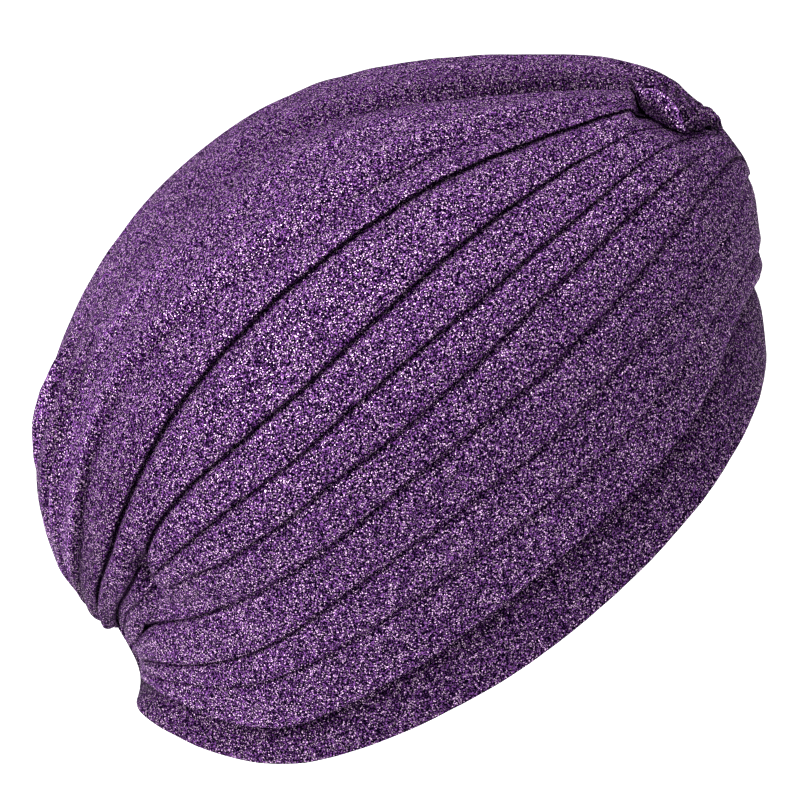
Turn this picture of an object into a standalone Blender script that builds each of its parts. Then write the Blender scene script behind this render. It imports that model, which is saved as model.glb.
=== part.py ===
"""A pleated turban hat of stretch knit, standing in the form that it takes when it is worn.

Three pieces: the pleated crown, the plain head band under its lowest pleat, and the ruched
knot that ties the pleats together above the forehead. Lengths in the tables are millimetres.
The wearer looks along -Y, +X is the wearer's left and +Z is up. The origin is the seat of the
head: the inside of the crown, where it bears on the top of the head.
"""
import bpy
import numpy as np

MM = 0.001

# Place of the head's seat in the tables below, whose own zero is the middle of the head.
SEAT_Y = -28.0
SEAT_Z = 90.0

# Outline of the hat over its pleats. Each row is one section, cut through the hat like a slice
# of a melon: from the top centre line, round the widest point of the side, to the hem.
# Angle 0 is the seam down the forehead and 180 the gathered seam at the nape.
SECTIONS = [
    # angle, top_y, top_z, side_x, side_y, side_z, hem_x, hem_y, hem_z
    (0.0,    -100,   63,   0,  -103,   33,   0, -104,  10),
    (22.5,    -83,   85,  37,   -85,   33,  36,  -94,   6),
    (45.0,    -46,   95,  62,   -60,   29,  62,  -72,  -8),
    (67.5,     -4,   94,  76,   -30,   21,  75,  -42, -30),
    (90.0,     36,   84,  81,     2,    9,  79,   -8, -52),
    (112.5,    73,   56,  79,    35,   -8,  75,   31, -71),
    (135.0,    99,   17,  64,    61,  -25,  59,   62, -80),
    (157.5,   108,  -31,  36,    80,  -42,  31,   84, -80),
    (180.0,    94,  -64,   0,    82,  -68,   0,   82, -84),
]
SIDE_ROUNDNESS = 2.25

# Pleats from the top down. Each number is how far down its section the pleat's folded edge
# lies, from 0 at the top centre line to 1 at the hem. The step is the height of the fold.
PLEATS = [
    # name,       0,    22.5, 45,   67.5, 90,   112.5, 135, 157.5, 180,  step
    ("top roll",  .003, .030, .055, .080, .130, .155, .170, .200, .030,  1.0),
    ("soft fold", .006, .045, .105, .150, .190, .215, .240, .270, .055,  0.9),
    ("first",     .009, .068, .165, .219, .267, .295, .335, .355, .085,  1.9),
    ("second",    .012, .105, .238, .325, .387, .416, .425, .460, .200,  1.9),
    ("third",     .016, .155, .318, .412, .461, .485, .487, .490, .270,  1.4),
    ("fourth",    .020, .215, .388, .479, .530, .548, .549, .525, .340,  1.5),
    ("fifth",     .026, .287, .493, .571, .601, .622, .636, .630, .450,  1.9),
    ("sixth",     .070, .435, .607, .664, .689, .711, .755, .780, .700,  1.8),
    ("seventh",   .460, .630, .730, .761, .773, .795, .822, .840, .800,  1.9),
    ("last",      .600, .745, .846, .862, .882, .908, .916, .900, .880,  1.9),
]

# The outside of one pleat, from the fold above it down to its own folded edge.
PLEAT_PROFILE = [
    # way down, share left of the step under the fold above, shift downwards, extra depth
    (0.00, 1.00,  0.7, 0.00),
    (0.35, 0.35,  0.0, 0.00),
    (0.80, 0.00,  0.0, 0.00),
    (1.00, 0.00, -0.1, 0.35),
]
MOST_SHIFT = 0.1
FULL_STEP_ROOM = 4.0

# The hollow along the top centre line, between the two halves of the crown.
CENTRE_HOLLOW = [
    # depth at 0, 22.5, 45, 67.5, 90, 112.5, 135, 157.5, 180, in millimetres
    1.0, 2.6, 3.5, 2.0, 1.0, 1.5, 4.5, 3.5, 1.5,
]
CENTRE_HOLLOW_HALF_WIDTH = 10.0
CENTRE_HOLLOW_MOST = 0.25

CROWN_WALL = 3.1
CLEARANCE = 0.7

# The plain band: -1 is its top edge, tucked under the last pleat, 0 is level with that pleat's
# folded edge and 1 is the hem.
BAND_PROFILE = [
    # way down, how much is left of its depth under the crown's wall
    (-1.00, 1.00), (-0.40, 1.00), (0.08, 1.00), (0.28, 0.80), (0.52, 0.45), (0.80, 0.15), (0.96, 0.10),
    (1.00, 0.25),
]
BAND_WALL = 1.6
HEM_WALL = 2.0
HEM_ROUNDING = 0.5
BAND_TUCK = 6.0
BAND_TUCK_MOST = 0.25
BAND_TUCK_LIMIT = 0.45

# The bed that the knot draws into the gathered pleats, and the knot that lies in it.
KNOT_BED = [
    # angle, half width, depth
    (12.0,  2.0, 0.0), (15.0,  4.0, 0.8), (18.0,  8.0, 2.4), (22.0, 14.0, 4.0), (26.0, 18.5, 4.8),
    (30.0, 20.5, 5.0), (34.0, 20.5, 4.4), (37.0, 18.0, 2.0), (40.0, 14.0, 0.0),
]
BED_STEEPNESS = 6
KNOT_FORM = [
    # angle, half width, height
    (15.0,  1.0, 0.8), (17.0,  3.5, 2.8), (20.0,  7.0, 4.6), (24.0, 10.5, 5.9), (28.0, 12.0, 6.6),
    (31.5, 12.0, 6.8), (34.0,  9.5, 5.2), (35.0,  7.0, 2.4),
]
KNOT_CLEARANCE = 0.6
KNOT_RUCHES = 5
KNOT_RUCHE_HEIGHT = 0.5
KNOT_RINGS = 21
KNOT_SIDES = 16

STATIONS = 39
STATION_CROWDING = 0.07
LINING_ROWS = 11
SECTION_STEP = 22.5
NORMAL_COLUMNS = 60

YARN = (0.094, 0.042, 0.115, 1.0)
BAND_YARN = (0.070, 0.030, 0.088, 1.0)


def smooth_column(values, sign, angles):
    """Runs an even spline through one column of a table. The column is mirrored past both
    seams, with its sign kept for places and heights and turned over for widths."""
    values = np.asarray(values, float)
    ring = np.concatenate([values, sign * values[-2:0:-1]])
    count = len(ring)
    blend = np.zeros((count, count))
    for i in range(count):
        blend[i, i] = 4 / 6
        blend[i, (i - 1) % count] = 1 / 6
        blend[i, (i + 1) % count] = 1 / 6
    control = np.linalg.solve(blend, ring)
    place = np.asarray(angles, float) / SECTION_STEP
    index = np.floor(place).astype(int)
    t = place - index
    weights = [(1 - t) ** 3, 3 * t ** 3 - 6 * t ** 2 + 4, -3 * t ** 3 + 3 * t ** 2 + 3 * t + 1, t ** 3]
    return sum(w / 6 * control[(index + k - 1) % count] for k, w in enumerate(weights))


def station_angles():
    """Angles of the sections that are modelled, closer together towards the two seams."""
    way = np.linspace(0, 1, STATIONS)
    return 180 * (way - STATION_CROWDING * np.sin(2 * np.pi * way))


def section_line(angle, samples=48):
    """Points of one section on the wearer's left, from the top centre to the hem."""
    table = np.array(SECTIONS)[:, 1:]
    signs = (1, 1, -1, 1, 1, -1, 1, 1)
    top_y, top_z, side_x, side_y, side_z, hem_x, hem_y, hem_z = [
        float(smooth_column(table[:, k], sign, angle)) for k, sign in enumerate(signs)]
    turn = np.linspace(0, np.pi / 2, samples)
    out = np.sin(turn) ** (2 / SIDE_ROUNDNESS)
    over = np.cos(turn) ** (2 / SIDE_ROUNDNESS)
    dome = np.stack([side_x * out, side_y + (top_y - side_y) * over, side_z + (top_z - side_z) * over], 1)
    down = np.linspace(0, 1, samples)[1:]
    skirt = np.stack([side_x + (hem_x - side_x) * down ** 2,
                      side_y + (hem_y - side_y) * down,
                      side_z + (hem_z - side_z) * down], 1)
    return np.concatenate([dome, skirt])


def section_length(line):
    """Running length along a line of points."""
    steps = np.linalg.norm(np.diff(line, axis=0), axis=1)
    return np.concatenate([[0.0], np.cumsum(steps)])


def outline_grid(angles, shares):
    """Points of the outline: a row per angle, a column per share of the way down."""
    grid = np.zeros((len(angles), shares.shape[1], 3))
    lengths = np.zeros(len(angles))
    for i, angle in enumerate(angles):
        line = section_line(angle)
        run = section_length(line)
        lengths[i] = run[-1]
        for axis in range(3):
            grid[i, :, axis] = np.interp(shares[i] * run[-1], run, line[:, axis])
    return grid, lengths


def grid_normals(grid):
    """Outward directions at the points of one half, smooth across the centre plane."""
    mirror = grid * np.array([-1, 1, 1])
    wide = np.concatenate([mirror[:, 1:2], grid], axis=1)
    wide = np.concatenate([wide[1:2] * np.array([-1, 1, 1]), wide, wide[-2:-1] * np.array([-1, 1, 1])], axis=0)
    a = wide[:-1, :-1]
    b = wide[1:, :-1]
    c = wide[1:, 1:]
    d = wide[:-1, 1:]
    face = np.cross(c - a, b - d)
    total = np.zeros_like(wide)
    for part in (np.s_[:-1, :-1], np.s_[1:, :-1], np.s_[1:, 1:], np.s_[:-1, 1:]):
        total[part] += face
    normal = total[1:-1, 1:]
    normal[:, 0, 0] = 0
    normal[0, :, 0] = 0
    normal[-1, :, 0] = 0
    return normal / np.linalg.norm(normal, axis=2, keepdims=True)


def eased(table, column, angles):
    """One column of a table that starts with the angle, run smoothly from row to row."""
    rows = np.array(table)
    place = np.interp(angles, rows[:, 0], np.arange(len(rows)))
    first = np.minimum(place.astype(int), len(rows) - 2)
    way = place - first
    way = way * way * (3 - 2 * way)
    return rows[first, column] * (1 - way) + rows[first + 1, column] * way


def outline_normals(angles, shares):
    """Outward directions at places that don't start at the top centre line. They hold for all
    sections but the first and last, and for those too where they are the two seams."""
    even = np.linspace(0, 1, NORMAL_COLUMNS)
    grid, _ = outline_grid(angles, np.tile(even, (len(angles), 1)))
    normals = grid_normals(grid)
    found = np.zeros(shares.shape + (3,))
    for i in range(len(angles)):
        for axis in range(3):
            found[i, :, axis] = np.interp(shares[i], even, normals[i, :, axis])
    return found / np.linalg.norm(found, axis=2, keepdims=True)


def centre_press(angles, shares, lengths):
    """How far the wall is pressed in along the hollow of the top centre line and in the bed of
    the knot."""
    down = shares * lengths[:, None]
    depth = smooth_column(CENTRE_HOLLOW, 1, angles)[:, None]
    reach = np.minimum(CENTRE_HOLLOW_HALF_WIDTH, CENTRE_HOLLOW_MOST * lengths)[:, None]
    bed_reach = eased(KNOT_BED, 1, angles)[:, None]
    bed = eased(KNOT_BED, 2, angles)[:, None] * np.exp(-(down / bed_reach) ** BED_STEEPNESS)
    return depth * np.exp(-(down / reach) ** 2) + bed


def to_metres(points):
    """Moves points from the tables' zero to the head's seat, in metres."""
    return (points - np.array([0.0, SEAT_Y, SEAT_Z])) * MM


def closed_mesh(points, faces):
    """A mesh from points and faces, with doubled points joined and flat faces dropped."""
    keys = {}
    index = []
    kept = []
    for point in np.round(points, 4):
        key = tuple(point + 0.0)
        if key not in keys:
            keys[key] = len(kept)
            kept.append(key)
        index.append(keys[key])
    clean = []
    for face in faces:
        ring = [index[k] for k in face]
        ring = [k for n, k in enumerate(ring) if k != ring[n - 1]]
        if len(set(ring)) >= 3:
            clean.append(ring)
    return to_metres(np.array(kept)), clean


def sheet_faces(rows, columns, start, flip):
    """Two triangles for each cell of a grid of points."""
    faces = []
    for i in range(rows - 1):
        for j in range(columns - 1):
            a = start + i * columns + j
            b = a + columns
            ring = [a, b, b + 1, a + 1]
            if flip:
                ring.reverse()
            faces.append([ring[0], ring[1], ring[2]])
            faces.append([ring[0], ring[2], ring[3]])
    return faces


def strip_faces(line_a, line_b, flip):
    """Two triangles for each step between two lines of points."""
    faces = []
    for k in range(len(line_a) - 1):
        ring = [line_a[k], line_a[k + 1], line_b[k + 1], line_b[k]]
        if flip:
            ring.reverse()
        faces.append([ring[0], ring[1], ring[2]])
        faces.append([ring[0], ring[2], ring[3]])
    return faces


def cloth_material(name, colour):
    material = bpy.data.materials.new(name)
    material.use_nodes = True
    shader = material.node_tree.nodes["Principled BSDF"]
    shader.inputs["Base Color"].default_value = colour
    shader.inputs["Roughness"].default_value = 0.55
    shader.inputs["Metallic"].default_value = 0.35
    return material


def add_piece(name, vertices, faces, material):
    mesh = bpy.data.meshes.new(name)
    mesh.from_pydata([tuple(v) for v in vertices], [], faces)
    mesh.materials.append(material)
    mesh.validate()
    mesh.shade_smooth()
    piece = bpy.data.objects.new(name, mesh)
    bpy.context.scene.collection.objects.link(piece)
    return piece


def both_halves(outer, inner):
    """Joins an outer and an inner grid of the left half, edged along the hem, and their
    mirror images into one closed shell. The halves share the points of the centre plane."""
    points = []
    faces = []
    for side in (1, -1):
        flip = side < 0
        start_outer = sum(len(p) for p in points)
        points.append(outer.reshape(-1, 3) * np.array([side, 1, 1]))
        start_inner = start_outer + outer.shape[0] * outer.shape[1]
        points.append(inner.reshape(-1, 3) * np.array([side, 1, 1]))
        faces += sheet_faces(outer.shape[0], outer.shape[1], start_outer, not flip)
        faces += sheet_faces(inner.shape[0], inner.shape[1], start_inner, flip)
        stations = range(outer.shape[0])
        outer_edge = [start_outer + (i + 1) * outer.shape[1] - 1 for i in stations]
        inner_edge = [start_inner + (i + 1) * inner.shape[1] - 1 for i in stations]
        faces += strip_faces(outer_edge, inner_edge, not flip)
    return closed_mesh(np.concatenate(points), faces)


def pleat_edges(angles):
    """Share of the way down for each pleat's folded edge, at each angle."""
    return np.stack([smooth_column(row[1:10], 1, angles) for row in PLEATS], 1)


def crown_rows(edges, lengths):
    """Shares and depths of the points down each section of the outside of the crown. Under
    each folded edge the cloth starts deep, then rises to the next edge and rolls over it."""
    steps = np.array([row[10] for row in PLEATS])
    shares = []
    depths = []
    above = np.zeros(len(lengths))
    fall = np.zeros(len(lengths))
    for k in range(len(PLEATS)):
        below = edges[:, k]
        room = (below - above) * lengths
        for place, height, shift, extra in PLEAT_PROFILE:
            if k == 0 and place == 0:
                shift = 0.0
            down = above + (below - above) * place
            shares.append(down + np.minimum(shift, MOST_SHIFT * room) / lengths)
            depths.append(fall * height + extra)
        above = below
        fall = steps[k] * np.minimum(1.0, room / FULL_STEP_ROOM)
    return np.stack(shares, 1), np.stack(depths, 1)


def build_crown():
    """The pleated crown: one wall, pleated outside and smooth inside, open below."""
    angles = station_angles()
    edges = pleat_edges(angles)
    lengths = np.array([section_length(section_line(a))[-1] for a in angles])
    shares, depths = crown_rows(edges, lengths)
    grid, lengths = outline_grid(angles, shares)
    depths = depths + centre_press(angles, shares, lengths)
    outer = grid - grid_normals(grid) * depths[:, :, None]
    lining = np.linspace(0, 1, LINING_ROWS)[None, :] * edges[:, -1:]
    grid, lengths = outline_grid(angles, lining)
    depths = CROWN_WALL + centre_press(angles, lining, lengths)
    inner = grid - grid_normals(grid) * depths[:, :, None]
    vertices, faces = both_halves(outer, inner)
    return add_piece("pleated_crown", vertices, faces, cloth_material("lurex_knit", YARN))


def build_band():
    """The plain band: tucked under the lowest pleat, doubled and slightly flared at the hem."""
    angles = station_angles()
    edge = pleat_edges(angles)[:, -1]
    lengths = np.array([section_length(section_line(a))[-1] for a in angles])
    tuck = np.minimum(BAND_TUCK, BAND_TUCK_MOST * (edge - BAND_TUCK_LIMIT) * lengths)
    under = CROWN_WALL + CLEARANCE
    down, flare = np.array(BAND_PROFILE).T
    room = np.where(down[None, :] < 0, (tuck / lengths)[:, None], 1 - edge[:, None])
    shares = edge[:, None] + room * down[None, :]
    grid, _ = outline_grid(angles, shares)
    normal = outline_normals(angles, shares)
    outer = grid - normal * (under * flare)[None, :, None]
    wall = BAND_WALL + (HEM_WALL - BAND_WALL) * np.maximum(down, 0)
    wall[-1] -= HEM_ROUNDING
    inner = grid - normal * (under * flare + wall)[None, :, None]
    points = np.concatenate([outer, inner[:, ::-1]], axis=1)
    points = np.concatenate([points, points[:, :1]], axis=1)
    right = points * np.array([-1, 1, 1])
    faces = sheet_faces(points.shape[0], points.shape[1], 0, True)
    faces += sheet_faces(points.shape[0], points.shape[1], points.shape[0] * points.shape[1], False)
    vertices, faces = closed_mesh(np.concatenate([points.reshape(-1, 3), right.reshape(-1, 3)]), faces)
    return add_piece("head_band", vertices, faces, cloth_material("lurex_knit_band", BAND_YARN))


def build_knot():
    """The ruched knot: a short gathered strip that lies in its bed across both halves. Each
    ring goes over its top from one side to the other, and back along the bed. A spare section
    past each end gives the end rings their directions."""
    step = (KNOT_FORM[-1][0] - KNOT_FORM[0][0]) / (KNOT_RINGS - 1)
    angles = KNOT_FORM[0][0] + step * np.arange(-1, KNOT_RINGS + 1)
    turn = np.linspace(0, 2 * np.pi, KNOT_SIDES, endpoint=False)
    half = eased(KNOT_FORM, 1, angles)[:, None]
    height = eased(KNOT_FORM, 2, angles)[:, None]
    across = half * np.cos(turn)[None, :]
    lengths = np.array([section_length(section_line(a))[-1] for a in angles])
    shares = np.abs(across) / lengths[:, None]
    way = np.arange(-1, KNOT_RINGS + 1)[:, None] / (KNOT_RINGS - 1)
    ruche = KNOT_RUCHE_HEIGHT * np.sin(np.pi * way) * np.cos(2 * np.pi * KNOT_RUCHES * way)
    over = np.clip(np.sin(turn), 0, 1)[None, :]
    depths = centre_press(angles, shares, lengths) - KNOT_CLEARANCE - (height + ruche) * over
    grid, _ = outline_grid(angles, shares)
    normals = outline_normals(angles, shares)
    rings = (grid - normals * depths[:, :, None])[1:-1]
    rings[:, :, 0] *= np.where(across < 0, -1, 1)[1:-1]
    points = rings.reshape(-1, 3)
    faces = [list(range(KNOT_SIDES)), [len(points) - 1 - k for k in range(KNOT_SIDES)]]
    for i in range(KNOT_RINGS - 1):
        for k in range(KNOT_SIDES):
            a = i * KNOT_SIDES + k
            b = i * KNOT_SIDES + (k + 1) % KNOT_SIDES
            faces.append([a, b + KNOT_SIDES, b])
            faces.append([a, a + KNOT_SIDES, b + KNOT_SIDES])
    vertices, faces = closed_mesh(points, faces)
    return add_piece("front_knot", vertices, faces, cloth_material("lurex_knit_knot", YARN))


for old in list(bpy.data.objects):
    bpy.data.objects.remove(old)
build_crown()
build_band()
build_knot()
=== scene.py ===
"""A pleated turban hat of glittering stretch knit, held up as it sits on a head.

The sections follow the hat as it is made up: the pleated crown, the plain head band below it
and the ruched knot above the forehead. Floor, lights and camera come last.
"""

import math

import bpy
import numpy as np
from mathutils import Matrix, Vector, noise


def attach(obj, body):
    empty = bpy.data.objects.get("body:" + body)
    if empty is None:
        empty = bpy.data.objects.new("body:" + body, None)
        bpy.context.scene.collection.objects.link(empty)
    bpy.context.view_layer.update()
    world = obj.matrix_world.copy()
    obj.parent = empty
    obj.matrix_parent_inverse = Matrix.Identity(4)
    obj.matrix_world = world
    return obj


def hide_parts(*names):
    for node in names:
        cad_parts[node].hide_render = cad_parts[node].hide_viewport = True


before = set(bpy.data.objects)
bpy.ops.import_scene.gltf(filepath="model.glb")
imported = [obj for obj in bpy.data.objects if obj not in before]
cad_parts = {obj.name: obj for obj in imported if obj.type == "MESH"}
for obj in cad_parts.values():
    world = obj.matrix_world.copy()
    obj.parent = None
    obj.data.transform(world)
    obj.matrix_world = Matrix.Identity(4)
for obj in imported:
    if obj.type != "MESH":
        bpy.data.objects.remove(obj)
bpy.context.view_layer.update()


# The pleated crown
# One layer of stretch knit with metallic yarn, laid in knife pleats that run from the forehead
# over the head to the nape, where all the folds are gathered and sewn down. Fold edges, the
# cloth tucked under them and the wrong side are one closed mesh.

MM = 0.001
# Where the seat of the head, the hat's origin, lies in the coordinates of these tables.
SEAT = np.array([0.0, -28.0, 90.0])
SECTION_STEP = 22.5
SIDE_ROUNDNESS = 2.25
SECTIONS = [
    # angle, top_y, top_z, side_x, side_y, side_z, hem_x, hem_y, hem_z, in millimetres
    (0.0,    -100,   63,   0,  -103,   33,   0, -104,  10),
    (22.5,    -83,   85,  37,   -85,   33,  36,  -94,   6),
    (45.0,    -46,   95,  62,   -60,   29,  62,  -72,  -8),
    (67.5,     -4,   94,  76,   -30,   21,  75,  -42, -30),
    (90.0,     36,   84,  81,     2,    9,  79,   -8, -52),
    (112.5,    73,   56,  79,    35,   -8,  75,   31, -71),
    (135.0,    99,   17,  64,    61,  -25,  59,   62, -80),
    (157.5,   108,  -31,  36,    80,  -42,  31,   84, -80),
    (180.0,    94,  -64,   0,    82,  -68,   0,   82, -84),
]
PLEATS = [
    # name, how far down its section the folded edge lies at 0, 22.5, 45 ... 180 degrees
    ("top roll",  .003, .030, .050, .070, .095, .105, .105, .190, .030),
    ("soft fold", .006, .045, .105, .145, .188, .190, .200, .270, .120),
    ("first",     .009, .068, .165, .219, .267, .295, .344, .375, .270),
    ("second",    .012, .105, .238, .325, .387, .416, .425, .462, .360),
    ("third",     .016, .155, .318, .412, .461, .485, .487, .484, .400),
    ("fourth",    .020, .215, .388, .479, .530, .548, .549, .507, .420),
    ("fifth",     .026, .287, .493, .571, .601, .622, .636, .622, .510),
    ("sixth",     .070, .435, .607, .664, .689, .711, .755, .772, .720),
    ("seventh",   .460, .630, .730, .761, .773, .795, .822, .825, .790),
    ("last",      .600, .745, .846, .862, .882, .908, .916, .872, .860),
]
FOLD_HEIGHTS = [
    # height of each folded edge above the next pleat, at the same angles, in millimetres
    (0.2, 0.3, 0.3, 0.3, 0.3, 0.5, 1.2, 1.2, 0.8),
    (0.3, 0.5, 1.3, 1.8, 1.6, 1.2, 1.6, 2.2, 1.2),
    (0.1, 0.0, 1.1, 1.6, 1.7, 1.9, 2.0, 2.0, 1.5),
    (0.1, 0.0, 0.4, 1.7, 1.8, 1.9, 2.1, 2.5, 1.4),
    (0.1, 0.0, 0.7, 1.5, 1.5, 1.4, 1.2, 0.2, 0.1),
    (0.1, 0.1, 1.5, 1.6, 1.6, 1.6, 1.5, 1.4, 0.8),
    (0.5, 1.8, 2.3, 2.0, 1.9, 1.9, 1.8, 1.6, 0.8),
    (0.8, 1.6, 1.8, 1.8, 1.7, 1.7, 1.6, 1.2, 0.6),
    (1.0, 1.8, 1.9, 1.8, 1.6, 1.4, 1.0, 0.6, 0.3),
    (1.4, 2.4, 2.4, 2.3, 2.0, 1.8, 1.6, 1.2, 0.6),
]
# The two folds on top are only laid over, not pressed. A pressed fold lower than the faded
# height, in millimetres, loses its dark line of painted shade too.
SOFT_FOLDS = 2
FADED_HEIGHT = 0.65
# A pleat narrower than the first of these, in millimetres, has a lower fold, and none counts as
# narrower than the second.
FULL_FOLD_ROOM = 4.0
LEAST_ROOM = 0.2
# The most of a pleat's width that a soft fold's step or a tuck takes up, and a pressed fold's turn.
STEP_SHARE = 0.3
TURN_SHARE = 0.6
# How far the folded edges stray from the table, in millimetres.
EDGE_STRAY = 0.7
# The noise that they stray by, and a finer one for the pressed ones: share, length in degrees,
# and how far apart in the noise the folds and the two sides lie.
LONG_STRAY = (1.0, 8.0, 3.1, 5.0)
FINE_STRAY = (0.2, 2.4, 1.7, 9.0)
# How much painted highlight the cloth over each folded edge takes, and how wide, in millimetres.
FOLD_HIGHLIGHT = (0.2, 0.24, 0.14, 0.10, 0.10, 0.10, 0.12, 0.14, 0.14, 0.30)
FOLD_HIGHLIGHT_WIDTH = 2.5
# Painted shade on each pleat towards its folded edge at the rear, or painted highlight if below
# 0: how much, how wide in millimetres, and the angle and the degrees over which this sets in.
REAR_SHADE = (-0.8, -0.4, 0.5, 0.2, 0.0, 0.0, 0.0, 0.0, 0.0, 0.0)
REAR_SHADE_WIDTH = 9.0
REAR_SHADE_START = 105.0
REAR_SHADE_BLEND = 35.0
# The hollow between both halves of the top: its depth at the same angles, its half width and the
# most of a section that it takes up.
CENTRE_HOLLOW = (1.0, 2.6, 3.5, 2.2, 1.0, 0.8, 0.3, 0.5, 1.5)
CENTRE_HOLLOW_HALF_WIDTH = 10.0
CENTRE_HOLLOW_SHARE = 0.25
# The sharp line at the bottom of the centre hollow, and how dark and wide its painted shade is,
# at the same angles.
CENTRE_LINE = (0.3, 0.3, 2.4, 1.8, 0.5, 0.2, 0.2, 0.4, 0.3)
CENTRE_LINE_WIDTH = 2.6
CENTRE_GLOOM = (0.0, 0.35, 0.95, 0.75, 0.35, 0.1, 0.1, 0.1, 0.2)
CENTRE_GLOOM_WIDTH = (3.0, 4.0, 5.5, 5.5, 5.0, 6.0, 9.0, 8.0, 3.0)
# How far that painted shade reaches up on the wearer's left and on the right, as shares of its
# width.
CENTRE_GLOOM_LEFT = 1.7
CENTRE_GLOOM_RIGHT = 0.6
KNOT_BED = [
    # the bed that the front knot draws into the pleats: angle, reach on the wearer's right, where
    # the pleats fall away more, reach on the left, and depth
    (12.0,  3.0,  3.0, 0.0), (15.0,  6.0,  6.0, 0.8), (18.0, 11.0, 10.0, 1.8), (20.5, 16.0, 12.0, 3.0),
    (22.5, 20.5, 12.0, 4.0), (24.5, 24.5,  9.5, 4.8), (28.5, 29.0,  7.5, 5.2), (33.5, 27.0,  7.0, 4.8),
    (37.0, 24.0,  7.0, 4.2), (40.0, 20.5,  7.0, 3.8),
]
BED_STEEPNESS = 5
# How deep the bed and the gaps between folds begin to take painted shade, and over how many
# millimetres.
HOLLOW_GLOOM = (2.6, 1.9)
# The bed's rear wall: its angle at the top, how far it leans back for each millimetre out to
# the side, and over how many degrees it rises.
BED_REAR = (32.4, 0.22, 2.2)
PITS = [
    # deep gaps between the gathered folds: angle, its reach, way down, its reach, depth
    (147.5, 5.5, 58.0, 3.8, 5.0),
]
REAR_TRENCH = [
    # the trough beside the rear seam: angle, its middle's way down, its reach and depth
    (124.0,  8.0, 3.5, 0.0), (130.0,  8.5, 5.0, 1.5), (136.0,  9.0, 6.0, 4.0), (141.5, 10.0, 6.8, 5.6),
    (146.5, 11.5, 6.3, 5.4), (151.0, 13.0, 5.0, 3.0), (157.0, 14.0, 4.0, 0.8), (163.0, 14.0, 3.0, 0.0),
]
TRENCH_STEEPNESS = 4
# The outer edge of the trough stands up as a ridge: its share of the trough's depth, its way out
# as a share of the trough's reach, and its half width.
TRENCH_RIDGE = (0.35, 1.3, 3.0)
# How dark the painted shade in the trough gets, and the depth in millimetres that gives it in
# full.
TRENCH_GLOOM = (0.65, 2.0)
CROWN_WALL = 3.1
CROWN_STATIONS = 250
STATION_CROWDING = 0.07
# Where the points lie across each pleat, as shares of its width, and round each folded edge, in
# degrees.
PLEAT_LAY = (0.0, 0.03, 0.08, 0.16, 0.27, 0.40, 0.54, 0.68, 0.80, 0.90, 0.97)
EDGE_TURNS = (30, 65, 100, 140, 180)
# How deep under the outline the open cloth, the folded edge and the tucked cloth lie.
CLOTH_DEPTH = 0.35
EDGE_DEPTH = 0.3
TUCKED_DEPTH = 0.15
# The cloth's roll before each folded edge: its height, its way from the edge, its half width and
# the pleat's width that gives it in full.
EDGE_ROLL = (0.35, 2.0, 1.8, 10.0)
# The valley under a fold: its share of the pleat's width, its least width, how much deeper it
# is than the fold above when that is pressed, and how many times as wide when that is soft.
VALLEY = (0.12, 0.5, 0.25, 3.5)
# The dark line of painted shade under a pressed fold: its width, and in a narrow pleat its share
# of the pleat's width and what is added to that. Then the width of the painted shade under a soft
# fold.
FOLD_GLOOM = (1.4, 0.5, 0.1)
SOFT_GLOOM_WIDTH = 2.5
# How much of its light the upper side of a folded edge keeps against the painted shade that
# darkens the edge towards its underside.
EDGE_SHEEN = 0.7
SOFT_STEP = [
    # angle, width of a soft fold's step for each millimetre of its height, and its painted shade
    (100.0, 2.5, 0.2), (130.0, 1.2, 0.5), (142.0, 0.4, 0.95), (180.0, 0.4, 0.95),
]
TUCK = 1.3
NAPE_FINGERS = [
    # pleats above and below, the angles over which the end swells, how far it swells and where
    # a small crease splits it, as a share of its width, 0 for none
    (1, 2, 150.0, 172.0, 2.2, 0),
    (2, 3, 145.0, 170.0, 2.6, 0.62),
    (4, 6, 152.0, 168.0, 2.2, 0),
    (5, 7, 152.0, 168.0, 2.2, 0),
    (5, 6, 154.0, 170.0, 1.4, 0),
    (6, 7, 157.0, 172.0, 1.0, 0),
]
NAPE_SMALL_LOBE = 0.4
NAPE_FULLNESS = 0.7
# The angle at which the swollen ends are over, and the degrees over which they round off.
NAPE_END = (175.0, 6.0)
# How far the seam draws in, over how many degrees, and the share of the way down where it starts
# to fade out and the share over which it fades.
NAPE_SEAM = (3.5, 5.0, 0.5, 0.3)
UNEVENNESS = [
    # waves of the worn knit: height, length along the pleats in degrees, width, and noise slot
    (0.55, 13.0, 22.0, 3.0),
    (0.25,  5.0,  9.0, 7.0),
]
# Fine gathers at both seams: height, length in degrees, width, and noise slot. Then how many
# degrees they reach from the forehead and from the nape.
GATHERS = (0.45, 10.0, 3.4, 1.5)
FRONT_GATHERS = 14.0
BACK_GATHERS = 12.0
# The waves die away this close to the top centre line, in millimetres.
CALM_CENTRE = 5.0
# The lining gives way to the gathered ends: how far, at which angle and its reach in degrees.
LINING_SLACK = (1.4, 160.0, 18.0)
LINING_ROWS = 13
# The lining lies in painted shade: it keeps this share of its light.
LINING_SHADING = 0.6


def smooth_column(values, angles, sign=1):
    """An even spline through one column of a table, mirrored past the front and back seams."""
    values = np.asarray(values, float)
    ring = np.concatenate([values, sign * values[-2:0:-1]])
    count = len(ring)
    turn = np.eye(count)
    blend = (4 * turn + np.roll(turn, 1, axis=0) + np.roll(turn, -1, axis=0)) / 6
    control = np.linalg.solve(blend, ring)
    place = np.asarray(angles, float) / SECTION_STEP
    index = np.floor(place).astype(int)
    way = place - index
    weights = [(1 - way) ** 3, 3 * way ** 3 - 6 * way ** 2 + 4,
               -3 * way ** 3 + 3 * way ** 2 + 3 * way + 1, way ** 3]
    return sum(weight / 6 * control[(index + number - 1) % count] for number, weight in enumerate(weights))


def eased(table, column, angles):
    """One column of a table that starts with the angle, run smoothly from row to row."""
    rows = np.array(table)
    place = np.interp(angles, rows[:, 0], np.arange(len(rows)))
    first = np.minimum(place.astype(int), len(rows) - 2)
    way = place - first
    way = way * way * (3 - 2 * way)
    return rows[first, column] * (1 - way) + rows[first + 1, column] * way


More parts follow.
